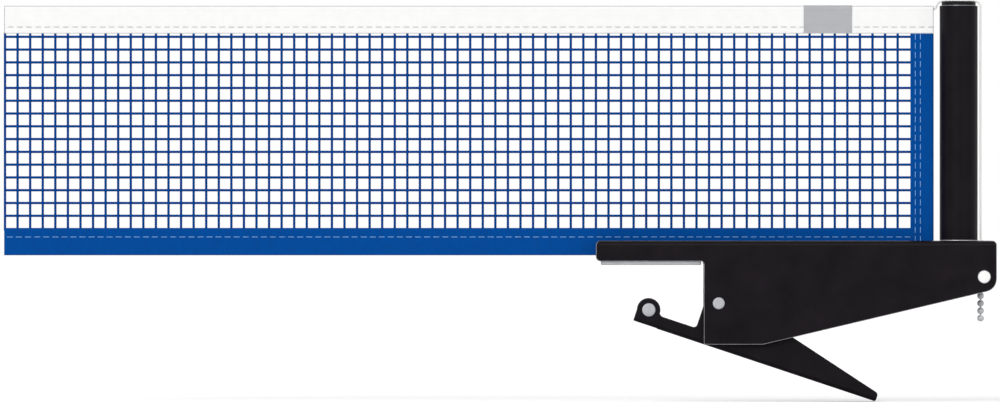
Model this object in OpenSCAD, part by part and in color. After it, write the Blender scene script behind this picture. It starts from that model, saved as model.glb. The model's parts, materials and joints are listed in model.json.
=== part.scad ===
// Table tennis net clamp: a spring clip that grips the table's edge, carries the
// post, and holds one end of the net. X runs along the net, away from the table,
// Y across the clamp and Z up. The origin is the middle of the jaw pad's face,
// which lies on the table top.

/* [Table jaw] */
// Length of the jaw pad along the net
pad_len = 58.8; // [45:0.1:75]
// Width of the jaw pad across the clamp
pad_w = 36; // [30:0.5:37.5]
// Thickness of the jaw pad
pad_t = 2.2; // [1.5:0.1:4]
// From the pad's front end to the tip of the jaw
pad_front_margin = 3; // [2:0.1:6]
// From the pad's back end to the throat, where the table's edge stops
pad_back_margin = 1.6; // [1:0.1:5]
// Thickness of table top that the jaw is closed on
jaw_gap = 19.5; // [17:0.1:23]
// Height of the jaw arm from its lower edge to its top
arm_h = 12.1; // [10.5:0.1:15]
// Thickness of the steel plate behind the pad
jaw_plate_t = 1.5; // [1:0.1:2]
// Height of the jaw plate's upturned flanges
jaw_flange_h = 6; // [3:0.5:8]

/* [Clamp body] */
// Width of the body across the net
body_w = 38; // [36:0.5:44]
// Thickness of the body's folded sheet
sheet_t = 2; // [1.5:0.1:2.4]
// Depth of the body's lowest edge below the pad's face
body_drop = 46.7; // [42:0.1:52]
// Length of the level part of the lowest edge
belly_len = 34.7; // [25:0.1:45]
// Depth of the body's low outer corner below the pad's face
end_drop = 15.8; // [15:0.1:17]
// Radius of the body's lower outer corner
end_r = 7.6; // [6:0.1:9]
// Radius of the body's upper outer corner
top_corner_r = 2.5; // [1.5:0.1:4]
// Radius of the corners at the jaw tip
tip_r = 2.7; // [1.5:0.1:4]
// Length of the rounded corner where the jaw arm meets the throat
throat_corner_len = 1.5; // [0.5:0.1:1.6]
// Height of that rounded corner, which ends below the table's top
throat_corner_h = 2.3; // [2.2:0.1:3]
// Outer radius of the fold between the top and the side walls
fold_r = 3; // [2.5:0.1:4]
// Depth of the throat wall below the pad's face
throat_wall_drop = 15; // [12:0.1:15]
// Length of the stop ledge that turns inward under the throat wall
stop_ledge_len = 5.5; // [4.5:0.1:6]
// Width of the slot in the top that lets the net down to the table
net_slot_w = 5; // [4:0.1:7]

/* [Lever] */
// Pivot's distance behind the throat
pivot_back = 8.7; // [8.5:0.1:10]
// Pivot's depth below the pad's face
pivot_drop = 22.5; // [22.4:0.1:24]
// Slope of the lever's straight lower edge when the jaw is closed on its gap
lever_tilt = 18.4; // [17:0.1:20]
// Width of the lever over its side plates
lever_w = 30; // [26:0.5:32]
// Thickness of the lever's folded sheet
lever_t = 1.5; // [1.2:0.1:2]
// Depth of the lever's lower edge below the pivot, square to that edge
lever_depth = 25.7; // [24:0.1:28]
// Length of the lever behind the pivot
handle_reach = 105.7; // [90:0.1:118]
// Height of the handle at its end
handle_tip_h = 5.1; // [4.6:0.1:8]
// Height of the arm between the ears and the shoulder
lever_arm_h = 7.7; // [6:0.1:8.5]
// Radius of the rounding about the pivot
boss_r = 7.2; // [6.8:0.1:7.3]
// Distance of the lever's shoulder in front of the pivot
shoulder_front = 7.7; // [7:0.1:8]
// Radius of the ears about the roller
ear_r = 6.5; // [5.4:0.1:6.6]
// Radius of the fillet between the arm and the ears
ear_fillet_r = 3; // [2:0.1:4]
// Radius of the fillet between the arm and the shoulder
shoulder_fillet_r = 2; // [1:0.1:3]
// Radius of the handle's upper end corner
tip_top_r = 2.4; // [1.5:0.1:2.6]
// Radius of the handle's lower end corner
tip_low_r = 1.2; // [0.5:0.1:2]
// Outer radius of the lever's long folds
lever_fold_r = 2.4; // [2:0.1:3]

/* [Roller] */
// Roller's place along the net, from the middle of the pad
roller_x = -1.35; // [-4:0.05:2]
// Radius of the rubber roller
roller_r = 6.85; // [6.7:0.05:7.2]
// Radius of the hard core under the rubber
roller_core_r = 4.4; // [4:0.1:5]
// Play at each end of the roller between the ears
roller_end_play = 0.5; // [0.3:0.1:1]

/* [Pins] */
// Radius of the pivot pin
pivot_pin_r = 2.5; // [2:0.1:2.8]
// Radius of the pivot pin's riveted heads
pivot_head_r = 3.5; // [3.2:0.1:4.5]
// Radius of the roller's axle
axle_r = 2.6; // [2.2:0.1:3]
// Radius of the axle's riveted heads
axle_head_r = 3.9; // [3.5:0.1:4.5]
// Height of the riveted heads
head_h = 0.9; // [0.5:0.1:1.2]
// Radius of the washers beside the lever
washer_r = 5.5; // [4.5:0.1:6.5]

/* [Spring] */
// Wire diameter of the torsion spring
wire_d = 1.8; // [1.5:0.1:1.9]
// Radius of the coil to the middle of the wire
coil_r = 5.6; // [5.4:0.05:5.7]
// Distance from one turn to the next
coil_pitch = 2.3; // [2.3:0.05:2.6]
// Whole turns of the coil
coil_turns = 4; // [3:1:6]
// Rise of the leg that bears on the body
body_leg_angle = 45; // [40:1:50]
// Fall of the leg that bears on the lever
lever_leg_angle = 37; // [33:1:42]
// Length of the bent ends of both legs
leg_foot_len = 6; // [3:0.5:8]
// Outer radius of the bush inside the coil
bush_r = 4.3; // [3.8:0.1:4.4]

/* [Post] */
// Distance of the post's middle from the table's edge
post_out = 150.1; // [150:0.1:152]
// Outer radius of the post
post_r = 11.2; // [11:0.1:11.5]
// Wall of the post
post_wall = 1.1; // [1:0.1:1.4]
// Thickness of the washer under the post
post_washer_t = 0.4; // [0.3:0.1:1]
// Wall of the sliding inner post
inner_post_wall = 1.5; // [1:0.1:2]
// Inner post's length
inner_post_len = 95; // [70:1:110]
// Part of the inner post that shows above the post
inner_post_reveal = 0.5; // [0.5:0.1:2]
// Height of the post's cap
cap_h = 2.3; // [2.2:0.1:4]
// Radius of the cap's upper edge
cap_edge_r = 0.8; // [0.4:0.1:1.2]
// Length of the cap's plug inside the inner post
cap_plug_len = 6; // [4:0.5:10]
// Length of the spigot that stands in the post
spigot_len = 20; // [15:0.5:30]
// Length of the spigot's foot across the clamp
spigot_foot_w = 30; // [24:0.5:31]
// Thickness of the spigot's foot
spigot_foot_t = 3; // [2:0.1:4]

/* [Height adjustment] */
// Radius of the height screw
screw_r = 3; // [2.5:0.1:3.5]
// Radius of the screw's collar that rests on the spigot
screw_collar_r = 5; // [4.5:0.1:7]
// Thickness of that collar
screw_collar_t = 3; // [2:0.1:5]
// Radius of the knob
knob_r = 9; // [8:0.1:9.2]
// Height of the knob
knob_h = 13; // [10:0.5:15]
// Number of finger grooves in the knob
knob_grooves = 10; // [8:1:14]
// Radius of the finger grooves
knob_groove_r = 1.6; // [1.2:0.1:1.8]
// Length of the nut inside the inner post
nut_len = 12; // [8:0.5:16]
// How far the net can be raised
net_lift = 10; // [5:0.5:12]

/* [Cord and chain] */
// Diameter of the net's tension cord
cord_d = 1.3; // [1:0.05:1.5]
// Cord's distance from the side of the post
cord_gap = 1.7; // [1.6:0.05:2.2]
// Height of the cord above the cap that it lies over
cord_proud = 0.5; // [0.3:0.1:0.6]
// Radius of the beads
bead_r = 2; // [1.9:0.05:2.05]
// Distance from bead to bead
bead_pitch = 4.38; // [4.35:0.01:4.6]
// Number of beads that hang free
hanging_beads = 4; // [2:1:8]
// Radius of the link between beads
link_r = 0.45; // [0.3:0.05:0.6]
// Radius of the ferrule that joins the cord to the chain
ferrule_r = 1.7; // [1.3:0.1:1.9]
// Length of that ferrule
ferrule_len = 6; // [4:0.1:8]
// Outer radius of the bush where the cord enters the body
cord_bush_r = 1.55; // [1.4:0.05:1.6]
// Height of the catch block's side bosses above the body's low outer edge
catch_rise = 8.9; // [8.5:0.1:10]
// Radius of the catch block's side bosses
catch_boss_r = 3.55; // [3:0.05:4]
// Distance of the catch block's bosses behind the chain
catch_back = 1.7; // [1.6:0.1:2]
// Length of the catch block along the net
catch_len = 9.4; // [9:0.1:9.8]
// Height of the catch block above the middle of its bosses
catch_rise_top = 4.9; // [4:0.1:6]
// Depth of the beads' seat below the middle of the bosses
catch_seat_drop = 4.7; // [4.4:0.1:4.8]
// Gap between the catch block and the body's end wall
catch_end_gap = 0.7; // [0.5:0.1:3]
// Thickness of the floor that holds the beads
catch_floor_t = 0.8; // [0.6:0.05:0.9]

/* [Net] */
// Height of the net's upper edge above the table
net_height = 152.5; // [150:0.1:156]
// Length of net that the part holds
net_len = 547; // [300:1:1830]
// Gap between the net's end and the post
net_end_gap = 3.5; // [2.5:0.1:6]
// Height of the net's lower edge above the table
net_rise = 5.7; // [5.5:0.1:7]
// Height of the white tape
tape_h = 16.3; // [12:0.1:18]
// Thickness of the tape at its lower edge
tape_t = 1.8; // [1.2:0.1:2.4]
// Radius of the tape's rolled upper edge
tape_roll_r = 1.7; // [1.5:0.1:2.2]
// Height of the lower band
low_band_h = 16.1; // [12:0.1:20]
// Width of the band beside the post
side_band_w = 13.7; // [10:0.1:20]
// Thickness of both bands
band_t = 2; // [1.2:0.1:2.4]
// Thickness of the net's strings
string_t = 1.1; // [0.8:0.05:1.6]
// Size of a mesh cell, two string pitches
cell = 14.8; // [14.5:0.1:30]
// Length of the label on the tape
label_len = 29.2; // [20:0.1:40]
// Distance of the label from the net's end
label_inset = 47.7; // [20:0.1:100]
// Thickness of the label
label_t = 0.4; // [0.3:0.05:0.6]

/* [Clearances] */
// Radial play of a part that turns or slides on another
running_gap = 0.05; // [0.02:0.01:0.09]
// Radial play of a part that is pushed into another
fit_gap = 0.03; // [0.01:0.01:0.05]
// Gap between parts that lie against each other
seat_gap = 0.1; // [0.05:0.01:0.15]
// Side gap between parts that move past each other
side_gap = 0.3; // [0.2:0.05:0.4]

/* [Hidden] */
$fn = 48;
// A cut reaches this far past a face
past = 1;
// A cut reaches this far to open a whole side
far = 400;
// Segments in a rounded corner of a profile
corner_steps = 6;

// Places along the net and heights
throat_x = pad_len/2 + pad_back_margin;
tip_x = -(pad_len/2 + pad_front_margin);
top_z = pad_t + arm_h;
web_z = top_z - sheet_t;
inner_w = body_w - 2*sheet_t;
belly_end_x = throat_x + belly_len;

pivot = [throat_x + pivot_back, -pivot_drop];
roller = [roller_x, -(jaw_gap + roller_r)];

post_x = throat_x + post_out;
post_foot_z = top_z + post_washer_t;
post_bore_r = post_r - post_wall;
inner_post_r = post_bore_r - running_gap;
inner_post_bore_r = inner_post_r - inner_post_wall;
inner_post_top = net_height + inner_post_reveal;
inner_post_foot = inner_post_top - inner_post_len;
cap_top = inner_post_top + cap_h;
spigot_r = post_bore_r - fit_gap;
spigot_top = post_foot_z + spigot_len;
// The spigot's foot stays clear of the net slot's end and the cord's bush
spigot_foot_inset = 0.8;
spigot_foot_len = 2*(post_r - spigot_foot_inset);
knob_top = web_z - spigot_foot_t - side_gap;
// The nut sits this far up the inner post, and the screw ends as far past the nut
nut_inset = 2;
nut_foot = inner_post_foot + nut_inset;
screw_top = nut_foot + nut_len + net_lift + nut_inset;

cord_r = cord_d/2;
cord_x = post_x + post_r + cord_gap;
cord_top_z = cap_top + cord_proud - cord_r;
// Below this height the cord hangs beside the post
cord_split_z = net_height - 2.5;
chain_x = cord_x;

catch_x = chain_x + catch_back;
catch_z = -end_drop + catch_rise;
catch_floor_z = catch_z - catch_seat_drop;
catch_top_z = catch_z + catch_rise_top;
catch_left_x = catch_x - catch_len/2;
catch_right_x = catch_x + catch_len/2;
// The block's lower corner follows the inside of the body's corner
catch_corner_r = end_r - sheet_t - 1;

// The body's outer end closes over the catch block
end_x = catch_right_x + catch_end_gap + sheet_t;
end_arc = [end_x - end_r, -end_drop + end_r];
// The belly rises in a straight line that meets the corner's arc
belly_run = end_arc - [belly_end_x, -body_drop];
belly_angle = atan2(belly_run[1], belly_run[0]) - asin(end_r/norm(belly_run));
// The end wall follows the corner as far as this angle
end_wall_stop = -60;
// The bead under the floor is the one that holds the cord's pull
held_bead_z = catch_floor_z - bead_pitch/2;
upper_beads = 4;
ferrule_foot = held_bead_z + (upper_beads - 1)*bead_pitch + bead_r;
ferrule_top = ferrule_foot + ferrule_len;

net_end_x = post_x - post_r - net_end_gap;
net_far_x = net_end_x - net_len;
tape_foot = net_height - tape_h;
low_band_top = net_rise + low_band_h;
side_band_x = net_end_x - side_band_w;
band_edge_r = band_t/2 - 0.05;
hem_z = net_height - tape_roll_r;
// The cord in the tape starts this far inside the tape's far end
hem_inset = 3;
slot_end_x = net_end_x + 2;
// The tape's roll reaches this angle below its middle on each side
roll_wrap = 20;

// ---- Plane geometry -------------------------------------------------------

function unit(v) = v/norm(v);

// Points of an arc about c from angle a0 to a1
function arc(c, r, a0, a1, steps = corner_steps) =
    [for (i = [0:steps]) let (a = a0 + (a1 - a0)*i/steps) c + r*[cos(a), sin(a)]];

// The corner at b between a and c, rounded to radius r
function round_corner(a, b, c, r) =
    r <= 0 ? [b] :
    let (
        to_a = unit(a - b),
        to_c = unit(c - b),
        half = acos(to_a*to_c)/2,
        centre = b + unit(to_a + to_c)*r/sin(half),
        from = b + to_a*r/tan(half) - centre,
        to = b + to_c*r/tan(half) - centre,
        a0 = atan2(from[1], from[0]),
        turn = atan2(to[1], to[0]) - a0,
        sweep = turn > 180 ? turn - 360 : turn < -180 ? turn + 360 : turn
    )
    arc(centre, r, a0, a0 + sweep);

// A closed outline through points [x, y, corner radius]
function rounded(points) =
    let (n = len(points))
    [for (i = [0:n - 1])
        let (
            a = points[(i + n - 1)%n],
            b = points[i],
            c = points[(i + 1)%n]
        )
        each round_corner([a[0], a[1]], [b[0], b[1]], [c[0], c[1]], b[2])];

// Extrudes an outline in X and Z across Y, from y0 to y1
module across(y0, y1) {
    translate([0, y1, 0]) rotate([90, 0, 0]) linear_extrude(y1 - y0) children();
}

// Extrudes a profile in Y and Z along X, from x0 to x1
module along(x0, x1) {
    translate([x0, 0, 0]) rotate([90, 0, 90]) linear_extrude(x1 - x0) children();
}

// A round bar across the clamp, at [x, z], from y0 to y1
module bar_across(at, r, y0, y1) {
    translate([at[0], y1, at[1]]) rotate([90, 0, 0]) cylinder(r = r, h = y1 - y0);
}

// A shallow domed rivet head on the side wall at y, facing away from the middle
module rivet_head(at, r, y, side) {
    crown = head_h/2;
    translate([at[0], side*y, at[1]]) rotate([-side*90, 0, 0]) {
        cylinder(r = r, h = head_h - crown);
        translate([0, 0, head_h - crown]) cylinder(r1 = r, r2 = r - crown, h = crown);
    }
}

// ---- Swept tubes ----------------------------------------------------------

function path_dir(p, i) = unit(p[min(i + 1, len(p) - 1)] - p[max(i - 1, 0)]);

// A tube of the given radius and number of sides along a path near the XZ plane
module swept_tube(path, r, sides) {
    n = len(path);
    rings = [for (i = [0:n - 1])
        let (
            d = path_dir(path, i),
            e1 = unit(cross(d, [0, 1, 0])),
            e2 = cross(d, e1)
        )
        for (k = [0:sides - 1])
            path[i] + r*(cos(360*k/sides)*e1 + sin(360*k/sides)*e2)];
    walls = [for (i = [0:n - 2]) for (k = [0:sides - 1])
        let (
            a = i*sides + k,
            b = i*sides + (k + 1)%sides
        )
        each [[a, b + sides, b], [a, a + sides, b + sides]]];
    caps = [for (k = [1:sides - 2])
        each [[0, k, k + 1], [(n - 1)*sides, (n - 1)*sides + k + 1, (n - 1)*sides + k]]];
    polyhedron(rings, concat(walls, caps), convexity = 8);
}

// ---- Clamp body -----------------------------------------------------------

side_outline = rounded([
    [tip_x, top_z, tip_r],
    [tip_x, pad_t, tip_r],
    each [for (i = [0:corner_steps]) let (a = 90*(1 - i/corner_steps))
        [throat_x - throat_corner_len*(1 - cos(a)), pad_t - throat_corner_h*(1 - sin(a)), 0]],
    [throat_x, -body_drop, 1],
    [belly_end_x, -body_drop, 3],
    [end_x, -body_drop + (end_x - belly_end_x)*tan(belly_angle), end_r],
    [end_x, top_z, top_corner_r]
]);

// The room inside the body: open at the jaw's tip and all along the bottom
inside_outline = concat(
    [[tip_x - far, web_z]],
    arc([end_x - sheet_t - 1, web_z - 1], 1, 90, 0),
    arc(end_arc, end_r - sheet_t, 0, end_wall_stop),
    [end_arc + 2*end_r*[cos(end_wall_stop), sin(end_wall_stop)],
     [end_arc[0], -far],
     [tip_x - far, -far]]
);

module fold_profile(w, top, r) {
    polygon(rounded([[-w/2, -far, 0], [w/2, -far, 0], [w/2, top, r], [-w/2, top, r]]));
}

module body_shell() {
    difference() {
        intersection() {
            across(-body_w/2, body_w/2) polygon(side_outline);
            along(tip_x - past, end_x + past) fold_profile(body_w, top_z, fold_r);
        }
        intersection() {
            across(-inner_w/2, inner_w/2) polygon(inside_outline);
            along(tip_x - past, end_x) fold_profile(inner_w, web_z, fold_r - sheet_t);
        }
    }
}

// The wall that the table's edge meets, with the ledge that stops the lever
module throat_wall() {
    across(-inner_w/2, inner_w/2) polygon(rounded([
        [throat_x, pad_t - throat_corner_h, 0],
        [throat_x, -throat_wall_drop, sheet_t*0.7],
        [throat_x + stop_ledge_len, -throat_wall_drop, 0],
        [throat_x + stop_ledge_len, -throat_wall_drop + sheet_t, 0],
        [throat_x + sheet_t, -throat_wall_drop + sheet_t, 0.5],
        [throat_x + sheet_t, pad_t + jaw_plate_t, 0],
        [throat_x + sheet_t/2, pad_t + jaw_plate_t, 0]
    ]));
}

module clamp_body() {
    color("#1b161c") difference() {
        union() {
            body_shell();
            throat_wall();
        }
        // slot for the net
        translate([tip_x - past, -net_slot_w/2, web_z - past])
            cube([slot_end_x - net_slot_w/2 - tip_x + past, net_slot_w, sheet_t + 2*past]);
        translate([slot_end_x - net_slot_w/2, 0, web_z - past])
            cylinder(d = net_slot_w, h = sheet_t + 2*past);
        // seats of the post's spigot, the cord's bush, the pin and the catch block
        translate([post_x, 0, web_z - past])
            cylinder(r = post_bore_r, h = sheet_t + 2*past);
        translate([cord_x, 0, web_z - past])
            cylinder(r = cord_bush_r + fit_gap, h = sheet_t + 2*past);
        bar_across(pivot, pivot_pin_r + fit_gap, -body_w, body_w);
        bar_across([catch_x, catch_z], catch_boss_r + fit_gap, -body_w, body_w);
    }
}

// ---- Jaw ------------------------------------------------------------------

module jaw_plate() {
    w = inner_w - 2*fit_gap;
    fold_inner_r = 0.8;
    color("#3a383c") along(-pad_len/2, pad_len/2) difference() {
        translate([-w/2, pad_t]) square([w, jaw_flange_h]);
        polygon(rounded([
            [-w/2 + jaw_plate_t, pad_t + jaw_plate_t, fold_inner_r],
            [w/2 - jaw_plate_t, pad_t + jaw_plate_t, fold_inner_r],
            [w/2 - jaw_plate_t, pad_t + jaw_flange_h + past, 0],
            [-w/2 + jaw_plate_t, pad_t + jaw_flange_h + past, 0]
        ]));
    }
}

module jaw_pad() {
    corner_r = 1.2;
    color("#b2b3b7") linear_extrude(pad_t) polygon(rounded([
        [-pad_len/2, -pad_w/2, corner_r],
        [pad_len/2, -pad_w/2, corner_r],
        [pad_len/2, pad_w/2, corner_r],
        [-pad_len/2, pad_w/2, corner_r]
    ]));
}

// ---- Lever ----------------------------------------------------------------
// The lever is drawn about its pivot, with u along its lower edge and v square to
// it, and then tilted into place.

function to_lever(p) =
    let (dx = p[0] - pivot[0], dz = p[1] - pivot[1])
    [dx*cos(lever_tilt) - dz*sin(lever_tilt), dx*sin(lever_tilt) + dz*cos(lever_tilt)];

roller_uv = to_lever(roller);
// The top of the pivot boss meets the stop ledge from below
stop_corner = to_lever([throat_x + sheet_t + 0.5, -throat_wall_drop - seat_gap]);
stop_flat_end = to_lever([pivot[0], -throat_wall_drop - seat_gap]);
lever_low_v = -lever_depth;
lever_arm_v = lever_low_v + lever_arm_h;
ear_fillet_u = roller_uv[0] + sqrt(
    (ear_r + ear_fillet_r)^2 - (lever_arm_v + ear_fillet_r - roller_uv[1])^2);
ear_fillet_v = lever_arm_v + ear_fillet_r;
ear_angle = atan2(ear_fillet_v - roller_uv[1], ear_fillet_u - roller_uv[0]);
handle_end_v = lever_low_v + handle_tip_h;
// The handle's upper edge falls from the boss, tangent to it, to the handle's end
handle_taper = asin(boss_r/norm([handle_reach, handle_end_v]))
    - atan2(handle_end_v, handle_reach);
// The lever's floor starts this far behind the roller
floor_gap = 1.2;
floor_start_u = roller_uv[0] + roller_r + floor_gap;

lever_outline = concat(
    [[roller_uv[0] - ear_r, lever_low_v]],
    round_corner([0, lever_low_v], [handle_reach, lever_low_v],
        [handle_reach, handle_end_v], tip_low_r),
    round_corner([handle_reach, lever_low_v], [handle_reach, handle_end_v],
        [0, boss_r/cos(handle_taper)], tip_top_r),
    arc([0, 0], boss_r, 90 - handle_taper, 90, 3),
    round_corner(stop_flat_end, stop_corner, [-shoulder_front, 0], 1),
    [[-shoulder_front, 0]],
    round_corner([-shoulder_front, 0], [-shoulder_front, lever_arm_v],
        [roller_uv[0], lever_arm_v], shoulder_fillet_r),
    arc([ear_fillet_u, ear_fillet_v], ear_fillet_r, 270, 180 + ear_angle),
    arc(roller_uv, ear_r, ear_angle, 180, 16)
);

module on_lever() {
    translate([pivot[0], 0, pivot[1]]) rotate([0, lever_tilt, 0]) children();
}

module lever_fold(w, low, r) {
    polygon(rounded([[-w/2, low, r], [w/2, low, r], [w/2, far, 0], [-w/2, far, 0]]));
}

module lever() {
    gap_w = lever_w - 2*lever_t;
    color("#1b161c") difference() {
        on_lever() difference() {
            intersection() {
                across(-lever_w/2, lever_w/2) polygon(lever_outline);
                along(-far, far) lever_fold(lever_w, lever_low_v, lever_fold_r);
            }
            along(-far, handle_reach - lever_t)
                lever_fold(gap_w, lever_low_v + lever_t, lever_fold_r - lever_t);
            translate([-far, -gap_w/2, -far]) cube([far + floor_start_u, gap_w, 2*far]);
        }
        bar_across(pivot, pivot_pin_r + running_gap, -body_w, body_w);
        bar_across(roller, axle_r + fit_gap, -body_w, body_w);
    }
}

module pivot_pin() {
    color("#b2b3b7") {
        bar_across(pivot, pivot_pin_r, -body_w/2, body_w/2);
        for (side = [-1, 1]) rivet_head(pivot, pivot_head_r, body_w/2, side);
    }
}

module pivot_washers() {
    inner_y = lever_w/2 + seat_gap;
    outer_y = inner_w/2 - seat_gap;
    color("#c9c9cc") for (side = [-1, 1]) difference() {
        bar_across(pivot, washer_r, side > 0 ? inner_y : -outer_y, side > 0 ? outer_y : -inner_y);
        bar_across(pivot, pivot_pin_r + fit_gap, -body_w, body_w);
    }
}

module spring_bush() {
    half = lever_w/2 - lever_t - side_gap;
    color("#d8d8d4") difference() {
        bar_across(pivot, bush_r, -half, half);
        bar_across(pivot, pivot_pin_r + fit_gap, -body_w, body_w);
    }
}

// ---- Torsion spring -------------------------------------------------------
// One wire: a foot under the body's top, a leg down to the coil, the coil about
// the pivot, and a leg down into the lever with a foot along its floor.

wire_r = wire_d/2;
coil_start = 90 + body_leg_angle;
coil_sweep = 360*coil_turns + 180 - body_leg_angle - lever_leg_angle;
coil_end = coil_start + coil_sweep;
coil_half_w = coil_pitch*coil_sweep/360/2;
rings_per_turn = 8;
coil_rings = ceil(coil_sweep*rings_per_turn/360);

function coil_point(t) =
    let (a = coil_start + t*coil_sweep)
    [pivot[0] + coil_r*cos(a), coil_half_w*(1 - 2*t), pivot[1] + coil_r*sin(a)];

body_leg_top = web_z - wire_r - seat_gap;
body_leg_dir = [cos(body_leg_angle), 0, sin(body_leg_angle)];
body_leg_end = coil_point(0)
    + body_leg_dir*(body_leg_top - coil_point(0)[2])/sin(body_leg_angle);
lever_leg_start_uv = to_lever([coil_point(1)[0], coil_point(1)[2]]);
lever_leg_low_v = lever_low_v + lever_t + wire_r + seat_gap;
lever_leg_dir = [cos(lever_leg_angle), 0, -sin(lever_leg_angle)];
lever_leg_end = coil_point(1) + lever_leg_dir
    *(lever_leg_start_uv[1] - lever_leg_low_v)/sin(lever_leg_angle - lever_tilt);

spring_path = concat(
    [body_leg_end + [leg_foot_len, 0, 0], body_leg_end],
    [for (i = [0:coil_rings]) coil_point(i/coil_rings)],
    [lever_leg_end,
     lever_leg_end + leg_foot_len*[cos(lever_tilt), 0, -sin(lever_tilt)]]
);

// The least gap between turns, measured between points at least half a turn apart
spring_gap = min([for (i = [2:len(spring_path) - 3])
    for (j = [i + rings_per_turn/2:1:len(spring_path) - 3])
        norm(spring_path[i] - spring_path[j])]) - wire_d;
echo(spring_least_gap = spring_gap);

module torsion_spring() {
    color("#8c8d91") swept_tube(spring_path, wire_r, 6);
}

// ---- Roller ---------------------------------------------------------------

roller_half = lever_w/2 - lever_t - roller_end_play;

module roller_axle() {
    color("#b2b3b7") {
        bar_across(roller, axle_r, -lever_w/2, lever_w/2);
        for (side = [-1, 1]) rivet_head(roller, axle_head_r, lever_w/2, side);
    }
}

module roller_core() {
    color("#d8d8d4") difference() {
        bar_across(roller, roller_core_r, -roller_half, roller_half);
        bar_across(roller, axle_r + running_gap, -body_w, body_w);
    }
}

module roller_tyre() {
    edge = 0.8;
    color("#232025") translate([roller[0], 0, roller[1]]) rotate([90, 0, 0])
        rotate_extrude() polygon([
            [roller_core_r + fit_gap, -roller_half + edge],
            [roller_r - edge, -roller_half + edge],
            [roller_r, -roller_half + 2*edge],
            [roller_r, roller_half - 2*edge],
            [roller_r - edge, roller_half - edge],
            [roller_core_r + fit_gap, roller_half - edge]
        ]);
}

// ---- Post -----------------------------------------------------------------

module post_ring(r_out, r_in, z0, z1) {
    translate([post_x, 0, 0]) difference() {
        translate([0, 0, z0]) cylinder(r = r_out, h = z1 - z0);
        translate([0, 0, z0 - past]) cylinder(r = r_in, h = z1 - z0 + 2*past);
    }
}

module post_tube() {
    color("#1b161c") post_ring(post_r, post_bore_r, post_foot_z, net_height);
}

module post_washer() {
    color("#c9c9cc") post_ring(post_r, post_bore_r, top_z, post_foot_z);
}

// A spigot that stands in the post, on a foot under the body's top
module post_spigot() {
    color("#8c8d91") translate([post_x, 0, 0]) difference() {
        union() {
            translate([-spigot_foot_len/2, -spigot_foot_w/2, web_z - spigot_foot_t])
                cube([spigot_foot_len, spigot_foot_w, spigot_foot_t]);
            translate([0, 0, web_z - spigot_foot_t])
                cylinder(r = spigot_r, h = spigot_top - web_z + spigot_foot_t);
        }
        translate([0, 0, web_z - spigot_foot_t - past])
            cylinder(r = screw_r + running_gap, h = spigot_top);
    }
}

module inner_post() {
    color("#b9babd") post_ring(inner_post_r, inner_post_bore_r, inner_post_foot, inner_post_top);
}

module post_cap() {
    groove_play = 0.2;
    groove_w = cord_d + 2*groove_play;
    color("#1b161c") difference() {
        translate([post_x, 0, 0]) rotate_extrude() polygon(concat(
            [[0, inner_post_top - cap_plug_len],
             [inner_post_bore_r - fit_gap, inner_post_top - cap_plug_len],
             [inner_post_bore_r - fit_gap, inner_post_top],
             [inner_post_r, inner_post_top]],
            arc([inner_post_r - cap_edge_r, cap_top - cap_edge_r], cap_edge_r, 0, 90),
            [[0, cap_top]]
        ));
        // groove that the cord lies in
        translate([post_x - post_r, -groove_w/2, cord_top_z - cord_r - seat_gap])
            cube([2*post_r, groove_w, cap_h]);
    }
}

// ---- Height adjustment ----------------------------------------------------

module post_nut() {
    color("#c4a962") post_ring(inner_post_bore_r - fit_gap, screw_r + running_gap,
        nut_foot, nut_foot + nut_len);
}

module height_screw() {
    collar_foot = spigot_top + seat_gap;
    color("#8c8d91") translate([post_x, 0, 0]) {
        translate([0, 0, knob_top - knob_h]) cylinder(r = screw_r, h = screw_top - knob_top + knob_h);
        translate([0, 0, collar_foot]) cylinder(r = screw_collar_r, h = screw_collar_t);
    }
}

module height_knob() {
    color("#1b161c") translate([post_x, 0, knob_top - knob_h]) difference() {
        cylinder(r = knob_r, h = knob_h);
        translate([0, 0, -past]) cylinder(r = screw_r + fit_gap, h = knob_h + 2*past);
        for (i = [0:knob_grooves - 1]) rotate(360*i/knob_grooves)
            translate([knob_r + knob_groove_r/2, 0, -past])
                cylinder(r = knob_groove_r, h = knob_h + 2*past, $fn = 24);
    }
}

// ---- Cord, chain and catch ------------------------------------------------

// The cord's way from the end of the tape over the cap and down beside the post
cord_cap_path = [
    [net_end_x, 0, hem_z],
    [net_end_x + 0.5, 0, hem_z],
    [net_end_x + 1, 0, hem_z + 0.2],
    [net_end_x + 1.35, 0, hem_z + 0.7],
    [net_end_x + 1.55, 0, hem_z + 1.4],
    [net_end_x + 1.85, 0, hem_z + 2.3],
    [net_end_x + 2.35, 0, hem_z + 3.1],
    [net_end_x + 3.1, 0, cord_top_z - 0.6],
    [post_x - post_r + 0.5, 0, cord_top_z - 0.15],
    [post_x - post_r + 1.1, 0, cord_top_z],
    [post_x, 0, cord_top_z],
    [post_x + post_r - 1.6, 0, cord_top_z],
    [cord_x - 1.8, 0, cord_top_z - 0.35],
    [cord_x - 0.8, 0, cord_top_z - 1.1],
    [cord_x - 0.2, 0, cord_top_z - 2.2],
    [cord_x, 0, cord_top_z - 3.2],
    [cord_x, 0, cord_split_z]
];

module hem_cord() {
    color("#e4e4e2") translate([net_far_x + hem_inset, 0, hem_z]) rotate([0, 90, 0])
        cylinder(r = cord_r, h = net_len - hem_inset);
}

module cord_over_cap() {
    color("#e4e4e2") swept_tube(cord_cap_path, cord_r, 8);
}

module cord_drop() {
    color("#e4e4e2") translate([cord_x, 0, ferrule_top])
        cylinder(r = cord_r, h = cord_split_z - ferrule_top);
}

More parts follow.
